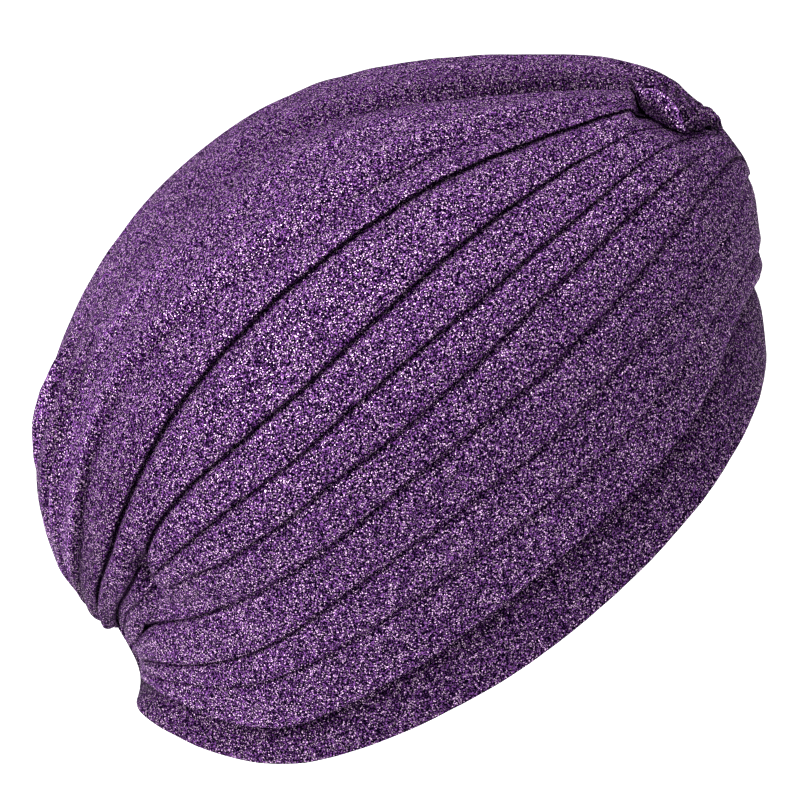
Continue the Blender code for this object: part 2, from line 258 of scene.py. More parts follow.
def station_angles(count):
    """Angles of the sections, closer together towards the two seams."""
    way = np.linspace(0, 1, count)
    return 180 * (way - STATION_CROWDING * np.sin(2 * np.pi * way))


def section_line(angle, samples=64):
    """Points of one section on the wearer's left, from the top centre to the hem."""
    table = np.array(SECTIONS)[:, 1:]
    signs = (1, 1, -1, 1, 1, -1, 1, 1)
    top_y, top_z, side_x, side_y, side_z, hem_x, hem_y, hem_z = [
        float(smooth_column(table[:, column], angle, sign)) for column, sign in enumerate(signs)]
    turn = np.linspace(0, np.pi / 2, samples)
    out = np.sin(turn) ** (2 / SIDE_ROUNDNESS)
    over = np.cos(turn) ** (2 / SIDE_ROUNDNESS)
    dome = np.stack([side_x * out,
                     side_y + (top_y - side_y) * over,
                     side_z + (top_z - side_z) * over], 1)
    down = np.linspace(0, 1, samples)[1:]
    skirt = np.stack([side_x + (hem_x - side_x) * down ** 2,
                      side_y + (hem_y - side_y) * down,
                      side_z + (hem_z - side_z) * down], 1)
    return np.concatenate([dome, skirt])


class Outline:
    """The hat's outline over its pleats: a point and an outward direction for each angle and
    each share of the way down from the top centre line to the hem."""

    def __init__(self, angles, columns=90):
        self.angles = angles
        self.even = np.linspace(0, 1, columns)
        self.lengths = np.zeros(len(angles))
        self.places = np.zeros((len(angles), columns, 3))
        for row, angle in enumerate(angles):
            line = section_line(angle)
            run = np.concatenate([[0.0], np.cumsum(np.linalg.norm(np.diff(line, axis=0), axis=1))])
            self.lengths[row] = run[-1]
            for axis in range(3):
                self.places[row, :, axis] = np.interp(self.even * run[-1], run, line[:, axis])
        self.outward = self.normals()

    def normals(self):
        """Outward directions, smooth across the centre plane."""
        flip = np.array([-1, 1, 1])
        wide = np.concatenate([self.places[:, 1:2] * flip, self.places], axis=1)
        wide = np.concatenate([wide[1:2] * flip, wide, wide[-2:-1] * flip], axis=0)
        face = np.cross(wide[1:, 1:] - wide[:-1, :-1], wide[1:, :-1] - wide[:-1, 1:])
        total = np.zeros_like(wide)
        for part in (np.s_[:-1, :-1], np.s_[1:, :-1], np.s_[1:, 1:], np.s_[:-1, 1:]):
            total[part] += face
        normal = total[1:-1, 1:]
        normal[:, 0, 0] = 0
        normal[0, :, 0] = 0
        normal[-1, :, 0] = 0
        return normal / np.linalg.norm(normal, axis=2, keepdims=True)

    def points(self, shares, depths):
        """Points at the given shares, pressed in by the given depths."""
        found = np.zeros(shares.shape + (3,))
        for row in range(len(self.angles)):
            for axis in range(3):
                place = np.interp(shares[row], self.even, self.places[row, :, axis])
                push = np.interp(shares[row], self.even, self.outward[row, :, axis])
                found[row, :, axis] = place - push * depths[row]
        return found

    def hollows(self, shares, side):
        """How far the cloth sinks in the bed of the knot and in the gaps between folds."""
        down = shares * self.lengths[:, None]
        run = self.angles[:, None]
        right = eased(KNOT_BED, 1, self.angles)[:, None]
        left = eased(KNOT_BED, 2, self.angles)[:, None]
        reach = np.where(side < 0, right, left)
        depth = eased(KNOT_BED, 3, self.angles)[:, None] * np.exp(-(down / reach) ** BED_STEEPNESS)
        rear_angle, lean, rise = BED_REAR
        rear = np.clip((run - rear_angle - lean * down * (side < 0)) / rise, 0, 1)
        depth = depth * (1 - rear * rear * (3 - 2 * rear))
        for angle, angle_reach, way, way_reach, most in PITS:
            out = ((run - angle) / angle_reach) ** 2 + ((down - way) / way_reach) ** 2
            depth = depth + most * np.exp(-out)
        return depth

    def trench(self, shares):
        """How far the cloth sinks in the trough beside the rear seam."""
        down = shares * self.lengths[:, None]
        middle, reach, most = [eased(REAR_TRENCH, column, self.angles)[:, None] for column in (1, 2, 3)]
        share, way_out, half_width = TRENCH_RIDGE
        ridge = np.exp(-((down - middle - way_out * reach) / half_width) ** 2)
        return most * (np.exp(-((down - middle) / reach) ** TRENCH_STEEPNESS) - share * ridge)

    def centre_press(self, shares, side):
        """How far the cloth sinks along the hollow between the two halves of the top."""
        down = shares * self.lengths[:, None]
        reach = np.minimum(CENTRE_HOLLOW_HALF_WIDTH, CENTRE_HOLLOW_SHARE * self.lengths)[:, None]
        hollow = smooth_column(CENTRE_HOLLOW, self.angles)[:, None] * np.exp(-(down / reach) ** 2)
        line = smooth_column(CENTRE_LINE, self.angles)[:, None] * np.exp(-(down / CENTRE_LINE_WIDTH) ** 2)
        return hollow + line + self.hollows(shares, side) + self.trench(shares)

    def centre_gloom(self, shares, side):
        """How much painted shade darkens the bottom of the centre hollow, from 0 to 1."""
        width = smooth_column(CENTRE_GLOOM_WIDTH, self.angles)[:, None]
        width = width * (CENTRE_GLOOM_LEFT if side > 0 else CENTRE_GLOOM_RIGHT)
        strength = smooth_column(CENTRE_GLOOM, self.angles)[:, None]
        return strength * np.exp(-(shares * self.lengths[:, None] / width) ** 2)


def ripple(across, along, slot):
    """Even noise between about -1 and 1, at places given as two arrays of the same shape. The
    slot is the third direction of the noise: another slot gives another pattern."""
    flat = [noise.noise(Vector((first, second, slot)))
            for first, second in zip(across.ravel(), along.ravel())]
    return np.array(flat).reshape(across.shape)


def strayed_edge(outline, number, side):
    """The share of the way down at which one folded edge lies, with its small straying."""
    angles = outline.angles
    stray = np.zeros(len(angles))
    strays = [LONG_STRAY] if number < SOFT_FOLDS else [LONG_STRAY, FINE_STRAY]
    for share, length, fold_step, side_step in strays:
        stray += share * ripple(angles / length, np.full(len(angles), fold_step * number), side_step * side)
    free = np.sin(np.radians(angles)) ** 0.5
    return smooth_column(PLEATS[number][1:], angles) + EDGE_STRAY * stray * free / outline.lengths


def crown_half(outline, side):
    """The outside of one half of the crown, down from the top centre line to the last fold,
    with the painted shading of each point: 0 for full painted shade in a crease, 1 on the open
    cloth and above 1 under a painted highlight."""
    angles = outline.angles
    lengths = outline.lengths
    rear = np.clip((angles - REAR_SHADE_START) / REAR_SHADE_BLEND, 0, 1)
    roll_height, roll_way, roll_width, roll_room = EDGE_ROLL
    valley_share, valley_least, valley_extra, soft_valley = VALLEY
    gloom_width, gloom_share, gloom_least = FOLD_GLOOM
    above = height_above = room_above = start = np.zeros(len(angles))
    shares, depths, painted_shadings = [], [], []
    for number, heights in enumerate(FOLD_HEIGHTS):
        soft = number < SOFT_FOLDS
        pressed_above = number > SOFT_FOLDS
        edge = strayed_edge(outline, number, side)
        room = np.maximum((edge - above) * lengths, LEAST_ROOM)
        height = smooth_column(heights, angles) * np.minimum(1.0, room / FULL_FOLD_ROOM)
        if soft:
            reach = np.minimum(height * eased(SOFT_STEP, 1, angles), STEP_SHARE * room)
        else:
            reach = np.minimum(height / 2, TURN_SHARE * room)
        start = np.minimum(start, STEP_SHARE * room)
        dark_above = np.clip(height_above / FADED_HEIGHT, 0, 1)

        # the cloth tucked under the fold above, in painted shade
        if pressed_above:
            tucked = np.minimum(TUCK, STEP_SHARE * room_above)
            shares.append(above - (height_above / 2 + tucked) / lengths)
            depths.append(height_above + TUCKED_DEPTH)
            painted_shadings.append(1 - dark_above)

        # the open cloth
        valley = valley_share * room + valley_least
        if not pressed_above:
            valley = valley * soft_valley
        for way in PLEAT_LAY:
            down = start + way * (room - reach - start)
            to_edge = room - reach - down
            sunk = (height_above + valley_extra * pressed_above) * np.exp(-((down - start) / valley) ** 2)
            roll = roll_height * np.exp(-((to_edge - roll_way) / roll_width) ** 2)
            shares.append(above + down / lengths)
            depths.append(sunk + CLOTH_DEPTH - roll * np.minimum(1.0, room / roll_room))
            # Painted shade under the fold above.
            if pressed_above:
                gloom = 1 - np.clip(down / np.minimum(gloom_width, gloom_share * room + gloom_least), 0, 1)
            elif number > 1:
                gloom = eased(SOFT_STEP, 2, angles) * np.exp(-((down - start) / SOFT_GLOOM_WIDTH) ** 2)
            else:
                gloom = 0.0
            # A painted highlight over this pleat's folded edge, and at the rear painted shade or highlight
            # towards it.
            highlight = FOLD_HIGHLIGHT[number] * np.exp(-(to_edge / FOLD_HIGHLIGHT_WIDTH) ** 2)
            shade = REAR_SHADE[number] * rear * np.exp(-(to_edge / REAR_SHADE_WIDTH) ** 2)
            painted_shadings.append((1 - dark_above * gloom) * (1 + highlight - shade))

        # the folded edge, from its upper side round to its underside, which takes painted shade
        dark = np.clip(height / FADED_HEIGHT, 0, 1)
        for turn in EDGE_TURNS:
            way = turn / EDGE_TURNS[-1]
            under = (1 - math.cos(math.radians(turn))) / 2
            if soft:
                shares.append(edge + reach * (2 * way - 1) / lengths)
                painted_shadings.append(1 - (number > 0) * eased(SOFT_STEP, 2, angles) * way * dark)
            else:
                lit = EDGE_SHEEN * max(0.0, 1 - 2 * under)
                shares.append(edge - reach * (1 - math.sin(math.radians(turn))) / lengths)
                painted_shadings.append((1 - dark * (1 - lit)) * (1 + FOLD_HIGHLIGHT[number]))
            depths.append(EDGE_DEPTH + height * under)
        above, height_above, room_above = edge, height, room
        start = reach if soft else np.zeros(len(angles))
    return np.stack(shares, 1), np.stack(depths, 1), np.stack(painted_shadings, 1)


def nape_gather(outline, shares):
    """How far the ends of the upper pleats swell out where they are gathered at the nape, each
    end a rounded finger, and how far the seam between both halves draws in."""
    run = outline.angles[:, None]
    end_angle, end_reach = NAPE_END
    end = np.sqrt(np.clip((end_angle - run) / end_reach, 0, 1))
    swell = np.zeros_like(shares)
    for upper, lower, first, last, size, split in NAPE_FINGERS:
        low_edge = smooth_column(PLEATS[lower][1:], outline.angles)[:, None]
        high_edge = smooth_column(PLEATS[upper][1:], outline.angles)[:, None]
        across = np.clip((shares - high_edge) / (low_edge - high_edge), 0, 1)
        lobe = 1.0
        if split:
            lobe = np.where(across < split, 1.0, NAPE_SMALL_LOBE)
            across = np.where(across < split, across / split, (across - split) / (1 - split))
        along = np.clip((run - first) / (last - first), 0, 1)
        swell += size * lobe * np.sin(np.pi * across) ** NAPE_FULLNESS * along * end
    depth, reach, fade_start, fade = NAPE_SEAM
    seam = depth * np.exp(-((180 - run) / reach) ** 2) * (1 - np.clip((shares - fade_start) / fade, 0, 1))
    return swell - seam


def cloth_unevenness(outline, shares, side):
    """Small lasting creases of the worn knit, in millimetres: long soft waves all over, and
    finer gathers that run in towards the seams at the forehead and the nape."""
    run = np.broadcast_to(outline.angles[:, None], shares.shape)
    down = shares * outline.lengths[:, None]
    free = (np.sin(np.radians(run)) ** 0.5) * (1 - np.exp(-(down / CALM_CENTRE) ** 2))
    wave = sum(height * ripple(run / length, down / width, slot * side)
               for height, length, width, slot in UNEVENNESS)
    height, length, width, slot = GATHERS
    near_seam = np.exp(-run / FRONT_GATHERS) + np.exp(-(180 - run) / BACK_GATHERS)
    return free * wave + height * near_seam * ripple(run / length, down / width, slot)


def shell(outer, lining):
    """A closed shell of both halves. Each entry holds the left and the right grid; the halves
    meet on the centre plane and the outside meets the lining along the lower edge."""
    points, faces, lower_edges = [], [], []
    for grid, turned in ((outer, False), (lining, True)):
        for side, half in zip((1, -1), grid):
            start = sum(len(some) for some in points)
            rows, columns = half.shape[:2]
            points.append(half.reshape(-1, 3) * np.array([side, 1, 1]))
            index = start + np.arange(rows * columns).reshape(rows, columns)
            quads = np.stack([index[:-1, :-1], index[1:, :-1], index[1:, 1:], index[:-1, 1:]], -1)
            quads = quads.reshape(-1, 4)
            faces.append(quads if turned == (side > 0) else quads[:, ::-1])
            lower_edges.append(index[:, -1])
    outer_left, outer_right, lining_left, lining_right = lower_edges
    for outside, inside, side in ((outer_left, lining_left, 1), (outer_right, lining_right, -1)):
        quads = np.stack([outside[:-1], outside[1:], inside[1:], inside[:-1]], -1)
        faces.append(quads[:, ::-1] if side > 0 else quads)
    return np.concatenate(points), np.concatenate(faces)


def cloth_piece(name, points, faces, lay, material):
    """A mesh piece from points in the tables' millimetres, with doubled points joined. Adding
    0.0 turns a negative zero into a plain one."""
    keys = np.round(points, 3) + 0.0
    _, first, index = np.unique(keys, axis=0, return_index=True, return_inverse=True)
    index = index.ravel()
    faces = index[faces]
    rings = []
    for face in faces.tolist():
        ring = [corner for number, corner in enumerate(face) if corner != face[number - 1]]
        if len(set(ring)) >= 3:
            rings.append(ring)
    mesh = bpy.data.meshes.new(name)
    mesh.from_pydata(((points[first] - SEAT) * MM).tolist(), [], rings)
    mesh.validate()
    mesh.shade_smooth()
    mesh.attributes.new("lay", "FLOAT", "POINT").data.foreach_set("value", lay[first].astype(np.float32))
    mesh.materials.append(material)
    piece = bpy.data.objects.new(name, mesh)
    bpy.context.scene.collection.objects.link(piece)
    return piece


class Thread:
    """A value in a material's node tree. Sums written on it add Math nodes."""

    def __init__(self, tree, socket):
        self.tree = tree
        self.socket = socket

    def node(self, kind, settings, sockets, output=0):
        """Adds a node from its type, its settings and what goes into its sockets."""
        made = self.tree.nodes.new(kind)
        for name, setting in settings.items():
            if name == "stops":
                ramp = made.color_ramp
                while len(ramp.elements) < len(setting):
                    ramp.elements.new(1.0)
                for element, (place, colour) in zip(ramp.elements, setting):
                    element.position = place
                    element.color = colour
            else:
                setattr(made, name, setting)
        for name, value in sockets.items():
            if isinstance(value, Thread):
                self.tree.links.new(value.socket, made.inputs[name])
            else:
                made.inputs[name].default_value = value
        return Thread(self.tree, made.outputs[output])

    def maths(self, operation, first, second=0.0):
        return self.node("ShaderNodeMath", {"operation": operation}, {0: first, 1: second})

    def __add__(self, other):
        return self.maths("ADD", self, other)

    def __radd__(self, other):
        return self.maths("ADD", other, self)

    def __sub__(self, other):
        return self.maths("SUBTRACT", self, other)

    def __rsub__(self, other):
        return self.maths("SUBTRACT", other, self)

    def __mul__(self, other):
        return self.maths("MULTIPLY", self, other)

    def __rmul__(self, other):
        return self.maths("MULTIPLY", other, self)

    def clipped(self, low, high):
        """The value's way from low to high, held between 0 and 1."""
        return self.node("ShaderNodeMapRange", {"interpolation_type": "SMOOTHSTEP"},
                         {"Value": self, "From Min": low, "From Max": high})


# Scales of the noise for the loops, for the strands that cross them, for the flecks of metallic
# yarn, for the straying of all these, and for patches of cloth with more or fewer flecks.
LOOP_SCALE = 2400.0
STRAND_SCALE = 1300.0
FLECK_SCALE = 2150.0
STRAY_SCALE = 1300.0
PATCH_SCALE = 130.0
# How far the pattern strays, in metres.
STRAY_REACH = 0.0006
# How thin the strands are, and how much they brighten the loops.
STRAND_THINNESS = 8.0
STRAND_LIGHT = 0.12
# A fleck fades from its middle between these two distances. A fleck's random number has to lie
# above the first of the next two for it to shine, and it shines in full above the second.
FLECK_EDGE = (0.22, 0.46)
FLECK_PICK = (0.35, 0.80)
# How much the patches change that random number, and how much the painted shading lowers it,
# so that fewer painted glints shine on the open cloth.
PATCH_CHANGE = 0.16
SHADING_CHANGE = 0.08
# The flecks' pale lilac: partly the metallic yarn's own colour, partly a painted glint, as it shines this
# bright at random places under any light.
YARN_GLINT = (1.0, 0.66, 1.0, 1.0)
# A painted grey sheen on the open, lit cloth, in loops of middling brightness: between which
# painted shadings and tones it comes up, and how much of it.
GREY_SHEEN = (0.035, 0.031, 0.039, 1.0)
GREY_SHEEN_SHADING = (0.7, 1.0)
GREY_SHEEN_TONE = (0.47, 0.64)
GREY_SHEEN_SHARE = 0.35
# The share of its brightness that the cloth keeps under full painted shade, as in a crease.
CREASE_LIGHT = 0.24
# How rough the plain yarn is, how much smoother a fleck is, and how metallic.
CLOTH_ROUGHNESS = 0.65
FLECK_SMOOTHNESS = 0.35
FLECK_METAL = 0.8
# How far the flecks stand above the loops, as a share of the loops' height. Then that height, in
# metres, and how strongly it shows.
FLECK_RAISE = 0.3
LOOP_HEIGHT = 0.0003
LOOP_STRENGTH = 0.7
# Fibres have no smooth skin, so their mirror reflection is next to nothing.
FIBRE_INDEX = 1.04
KNIT_TONES = [
    # share of the loops' brightness and the linear colour there, from gap to open loop
    (0.36, (0.001, 0.0002, 0.004, 1.0)),
    (0.47, (0.006, 0.001, 0.012, 1.0)),
    (0.57, (0.028, 0.005, 0.046, 1.0)),
    (0.70, (0.180, 0.052, 0.260, 1.0)),
]


def glitter_knit(name, painted_light_share):
    """Fine dark purple knit with a flat metallic yarn: near-black gaps between the loops,
    purple loops, and pale lilac metallic flecks whose colour is partly a painted glint. The
    piece's painted shading and the painted light share darken or lighten it all."""
    material = bpy.data.materials.new(name)
    material.use_nodes = True
    tree = material.node_tree
    shader = tree.nodes["Principled BSDF"]
    shader.inputs["IOR"].default_value = FIBRE_INDEX
    place = Thread(tree, tree.nodes.new("ShaderNodeTexCoord").outputs["Object"])
    # The piece's painted shading: below 1 painted shade in creases and hollows, above 1 a painted
    # highlight.
    lay = place.node("ShaderNodeAttribute", {"attribute_name": "lay"}, {}, "Fac")

    stray = place.node("ShaderNodeTexNoise", {},
                       {"Vector": place, "Scale": STRAY_SCALE, "Detail": 0.0}, "Color")
    bent = place.node("ShaderNodeVectorMath", {"operation": "MULTIPLY_ADD"},
                      {0: stray, 1: (STRAY_REACH,) * 3, 2: place})
    loops = place.node("ShaderNodeTexNoise", {}, {"Vector": bent, "Scale": LOOP_SCALE, "Detail": 0.0})
    strands = place.node("ShaderNodeTexNoise", {},
                         {"Vector": bent, "Scale": STRAND_SCALE, "Detail": 0.0}) - 0.5
    strand = 1.0 - strands.maths("ABSOLUTE", strands) * STRAND_THINNESS
    tone = loops + strand.clipped(0.0, 1.0) * STRAND_LIGHT - STRAND_LIGHT / 2

    patch = place.node("ShaderNodeTexNoise", {}, {"Vector": place, "Scale": PATCH_SCALE, "Detail": 2.0})
    fleck = {"Vector": bent, "Scale": FLECK_SCALE}
    near = place.node("ShaderNodeTexVoronoi", {"feature": "F1"}, fleck)
    pick = place.node("ShaderNodeTexVoronoi", {"feature": "F1"}, fleck, "Color")
    chosen = place.node("ShaderNodeSeparateColor", {}, {"Color": pick}, "Red")
    chosen = chosen + patch * PATCH_CHANGE - PATCH_CHANGE / 2 - lay * SHADING_CHANGE
    glint = (1.0 - near.clipped(*FLECK_EDGE)) * chosen.clipped(*FLECK_PICK)

    loop_colour = place.node("ShaderNodeValToRGB", {"stops": KNIT_TONES}, {"Fac": tone}, "Color")
    grey_sheen = lay.clipped(*GREY_SHEEN_SHADING) * tone.clipped(*GREY_SHEEN_TONE) * GREY_SHEEN_SHARE
    base = place.node("ShaderNodeMix", {"data_type": "RGBA", "blend_type": "ADD"},
                      {0: grey_sheen, 6: loop_colour, 7: GREY_SHEEN}, 2)
    knit = place.node("ShaderNodeMix", {"data_type": "RGBA"}, {0: glint, 6: base, 7: YARN_GLINT}, 2)
    # Painted shade and painted highlight from the piece's painted shading, and the whole copy dimmed by its
    # painted light share.
    shade = painted_light_share * (CREASE_LIGHT + lay * (1 - CREASE_LIGHT))
    grey = place.node("ShaderNodeCombineColor", {}, {0: shade, 1: shade, 2: shade}, "Color")
    final = place.node("ShaderNodeMix", {"data_type": "RGBA", "blend_type": "MULTIPLY"},
                       {0: 1.0, 6: knit, 7: grey}, 2)
    bump = place.node("ShaderNodeBump", {}, {"Height": loops + glint * FLECK_RAISE,
                                             "Strength": LOOP_STRENGTH, "Distance": LOOP_HEIGHT}, "Normal")

    tree.links.new(final.socket, shader.inputs["Base Color"])
    tree.links.new((glint * FLECK_METAL).socket, shader.inputs["Metallic"])
    tree.links.new((CLOTH_ROUGHNESS - glint * FLECK_SMOOTHNESS).socket, shader.inputs["Roughness"])
    tree.links.new(bump.socket, shader.inputs["Normal"])
    return material


crown_angles = station_angles(CROWN_STATIONS)
crown_outline = Outline(crown_angles)
crown_knit = glitter_knit("crown_glitter_knit", 1.0)
gloom_start, gloom_blend = HOLLOW_GLOOM
trench_shade, trench_full = TRENCH_GLOOM
slack, slack_angle, slack_reach = LINING_SLACK
lining_slack = slack * np.exp(-((crown_angles[:, None] - slack_angle) / slack_reach) ** 2)
outsides, linings, painted_shadings = [], [], []
for side in (1, -1):
    shares, depths, lay = crown_half(crown_outline, side)
    depths += crown_outline.centre_press(shares, side) - cloth_unevenness(crown_outline, shares, side)
    depths -= nape_gather(crown_outline, shares)
    outsides.append(crown_outline.points(shares, depths))
    # Painted shade in the knot's bed, in the gaps between folds, in the rear trough and along the centre
    # hollow.
    gloom = np.clip((crown_outline.hollows(shares, side) - gloom_start) / gloom_blend, 0, 1)
    gloom = np.maximum(gloom, trench_shade * np.clip(crown_outline.trench(shares) / trench_full, 0, 1))
    painted_shadings.append((lay * (1 - gloom) * (1 - crown_outline.centre_gloom(shares, side))).ravel())
    lining = np.linspace(0, 1, LINING_ROWS)[None, :] * shares[:, -1:]
    wall = CROWN_WALL + lining_slack + crown_outline.centre_press(lining, side)
    linings.append(crown_outline.points(lining, wall))
# Both halves share their points along the top centre line.
for left, right in (outsides, linings):
    left[:, 0] = right[:, 0] = (left[:, 0] + right[:, 0]) / 2
crown_points, crown_faces = shell(outsides, linings)
outside_shading = np.concatenate(painted_shadings)
lining_shades = np.full(len(crown_points) - len(outside_shading), LINING_SHADING)
pleated_crown = cloth_piece("turban_crown", crown_points, crown_faces,
                            np.concatenate([outside_shading, lining_shades]), crown_knit)
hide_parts("pleated_crown")
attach(pleated_crown, "root")


# The head band
# The lower edge of the same tube, left plain below the last pleat. It grips the head, and its
# hem is turned in once, which leaves a slightly firmer rim.

BAND_WALL = 1.6
BAND_TUCK = 6.0
BAND_GAP = 0.7
BAND_OUTSIDE = [
    # way down, from -1 at the tucked top edge, 0 level with the last fold, to 1 at the hem, and
    # how much of the crown's depth is left
    (-1.00, 1.00), (-0.60, 1.00), (-0.25, 1.00), (0.00, 1.00), (0.05, 0.99), (0.10, 0.97), (0.16, 0.93),
    (0.23, 0.87), (0.30, 0.79), (0.38, 0.69), (0.46, 0.59), (0.54, 0.48), (0.62, 0.38), (0.70, 0.29),
    (0.77, 0.21), (0.83, 0.16), (0.88, 0.14), (0.92, 0.12), (0.95, 0.10), (0.98, 0.13), (1.00, 0.28),
]
# At the front the tuck is shorter: this share of its last fold's way below this share of the
# section.
BAND_TUCK_LIMIT = (0.25, 0.45)
# The band lies flatter at the forehead: how much, and over how many degrees.
FRONT_FLATNESS = (2.2, 25.0)
# The ridge over the end of the seam at the nape: height, angle, reach in degrees, and how it
# rises towards the hem.
NAPE_RIDGE = (1.3, 161.0, 7.0, 1.5)
BAND_WAVES = [
    # waves of the stretched knit: height, length in degrees, width, and the noise slots on the
    # wearer's left and right
    (0.35, 9.0, 20.0, 4.0, -4.0),
    (0.12, 3.0,  6.0, 8.0,  8.0),
]
# The shares of the way down where the waves set in, and over which they do.
BAND_WAVE_START = (0.2, 0.3)
# The painted shadow under the last fold: its width in millimetres, and how it fades.
BAND_SHADE = (9.0, 0.7)
# A painted highlight on the rim of the hem: how much, from which share of the way down, and the
# share over which it sets in.
HEM_HIGHLIGHT = (0.2, 0.86, 0.08)
# The lining draws this much closer to the outside at the hem.
HEM_PINCH = 0.9
BAND_LINING_ROWS = 9
# The band's copy of the knit is painted darker than the crown's, as painted shade.
BAND_PAINTED_LIGHT = 0.78


def band_half(outline, side):
    """The outside of one half of the band, from its tucked top edge to the hem."""
    lengths = outline.lengths
    edge = smooth_column(PLEATS[-1][1:], outline.angles)
    tuck_share, tuck_top = BAND_TUCK_LIMIT
    tuck = np.minimum(BAND_TUCK / lengths, tuck_share * (edge - tuck_top))
    down, flare = np.array(BAND_OUTSIDE).T
    shares = edge[:, None] + np.where(down < 0, tuck[:, None], 1 - edge[:, None]) * down
    run = np.broadcast_to(outline.angles[:, None], shares.shape)

    flatness, flat_reach = FRONT_FLATNESS
    depths = (CROWN_WALL + BAND_GAP) * flare[None, :] ** (1 + flatness * np.exp(-run / flat_reach))
    ridge, ridge_angle, ridge_reach, rise = NAPE_RIDGE
    depths -= ridge * np.exp(-((run - ridge_angle) / ridge_reach) ** 2) * np.clip(down, 0, 1) ** rise

    run_down = shares * lengths[:, None]
    wave_start, wave_blend = BAND_WAVE_START
    free = np.sin(np.radians(run)) ** 0.5 * np.clip((down - wave_start) / wave_blend, 0, 1)[None, :]
    for height, length, width, left_slot, right_slot in BAND_WAVES:
        slot = left_slot if side > 0 else right_slot
        depths -= free * height * ripple(run / length, run_down / width, slot)

    # Painted shadow under the last fold and a painted highlight on the rim of the hem.
    shade_width, fade = BAND_SHADE
    lay = np.clip((shares - edge[:, None]) * lengths[:, None] / shade_width, 0, 1) ** fade
    highlight, rim_start, rim_blend = HEM_HIGHLIGHT
    return shares, depths, lay * (1 + highlight * np.clip((down - rim_start) / rim_blend, 0, 1))


band_knit = glitter_knit("band_glitter_knit", BAND_PAINTED_LIGHT)
band_outsides, band_linings, band_shadings = [], [], []
for side in (1, -1):
    shares, depths, lay = band_half(crown_outline, side)
    way = np.linspace(0, 1, BAND_LINING_ROWS)
    lining = shares[:, :1] + (shares[:, -1:] - shares[:, :1]) * way[None, :]
    depth = np.array([np.interp(line, *row) for line, row in zip(lining, zip(shares, depths))])
    lining_points = crown_outline.points(lining, depth + BAND_WALL - HEM_PINCH * (way == 1.0))
    band_linings.append(lining_points)
    # The outside starts from the lining's first points, so both close along the tucked top edge.
    outside_points = crown_outline.points(shares, depths)
    band_outsides.append(np.concatenate([lining_points[:, :1], outside_points], axis=1))
    band_shadings.append(np.pad(lay, ((0, 0), (1, 0))).ravel())
band_points, band_faces = shell(band_outsides, band_linings)
outside_shading = np.concatenate(band_shadings)
lining_shades = np.full(len(band_points) - len(outside_shading), LINING_SHADING)
head_band = cloth_piece("turban_band", band_points, band_faces,
                        np.concatenate([outside_shading, lining_shades]), band_knit)
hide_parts("head_band")
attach(head_band, "root")


# The front knot
# A narrow strip of the same knit, drawn tight round the gathered pleats above the forehead so
# that it ruches into small folds across its length.

KNOT_FORM = [
    # angle, how far its middle lies to the wearer's right, half width, height above the bed
    (15.0, 0.0,  1.0, 0.6), (17.0, 0.0,  4.0, 2.4), (20.0, 1.0,  8.5, 3.4), (24.0, 3.0, 12.5, 4.0),
    (28.0, 6.5, 14.0, 3.8), (31.0, 7.0, 13.5, 3.6), (33.4, 7.0, 11.5, 3.2), (34.6, 7.0,  8.5, 1.6),
]
KNOT_CLEARANCE = 0.6
# From this height on, in millimetres, the strip has its small folds in full.
KNOT_FULL_HEIGHT = 3.0
# Small folds across the strip: how far apart in degrees, how high, how round, the share of their
# height that lies below the strip's form, and how far they bend back for each millimetre out.
RUCHE_STEP = 1.8
RUCHE_HEIGHT = 1.1
RUCHE_ROUNDNESS = 0.7
RUCHE_SINK = 0.6
RUCHE_BEND = 0.12
# The noise that the small folds stray by, in degrees, and the noise that crumples them, in
# millimetres: how much, its length in degrees, its width and its slot.
RUCHE_STRAY = (0.35, 3.0, 5.0, 6.5)
CRUMPLE = (0.5, 1.6, 3.0, 2.5)
# The folded rear edge of the strip, which stands out as a loop: its angle at the top, how far
# it leans forward for each millimetre out to the side, its reach in degrees and its height.
LOOP = (33.5, 0.24, 0.7, 2.2)
# The groove before the loop: its way before the loop and half width, in reaches of the loop,
# and its depth.
LOOP_GROOVE = (2.7, 1.1, 2.4)
# Where the strip falls away behind the loop, over what way, both in reaches of the loop, and by
# what share of its height.
LOOP_BACK = (0.6, 1.2, 0.8)
# The small folds die out before the loop: where, and over what way, in reaches of the loop.
BODY_END = (0.8, 2.0)
# The painted shade and highlight of the small folds die out sooner: at this share of the small
# folds' height, and over this share.
BODY_SHADING = (0.3, 0.5)
# The painted shading across the strip: the share of light kept in painted shade at the sides,
# and how fast it opens towards the middle.
KNOT_SIDE_SHADING = (0.3, 0.6)
# The painted shade in the gaps of the small folds, the painted highlight on their crests, how
# fast it opens and how much the crumples change it.
RUCHE_SHADING = (0.1, 0.85, 3.0, 0.6)
# A painted highlight along the loop.
LOOP_HIGHLIGHT = 2.2
KNOT_RINGS = 161
KNOT_SIDES = 96
# The knot's copy of the knit is painted a little darker than the crown's, as painted shade.
KNOT_PAINTED_LIGHT = 0.95


def tube_faces(rings, sides):
    """Faces of a tube of rings, closed at both ends."""
    index = np.arange(rings * sides).reshape(rings, sides)
    after = np.roll(index, -1, axis=1)
    faces = np.stack([index[:-1], index[1:], after[1:], after[:-1]], -1).reshape(-1, 4).tolist()
    faces.append(index[0].tolist())
    faces.append(index[-1, ::-1].tolist())
    return faces


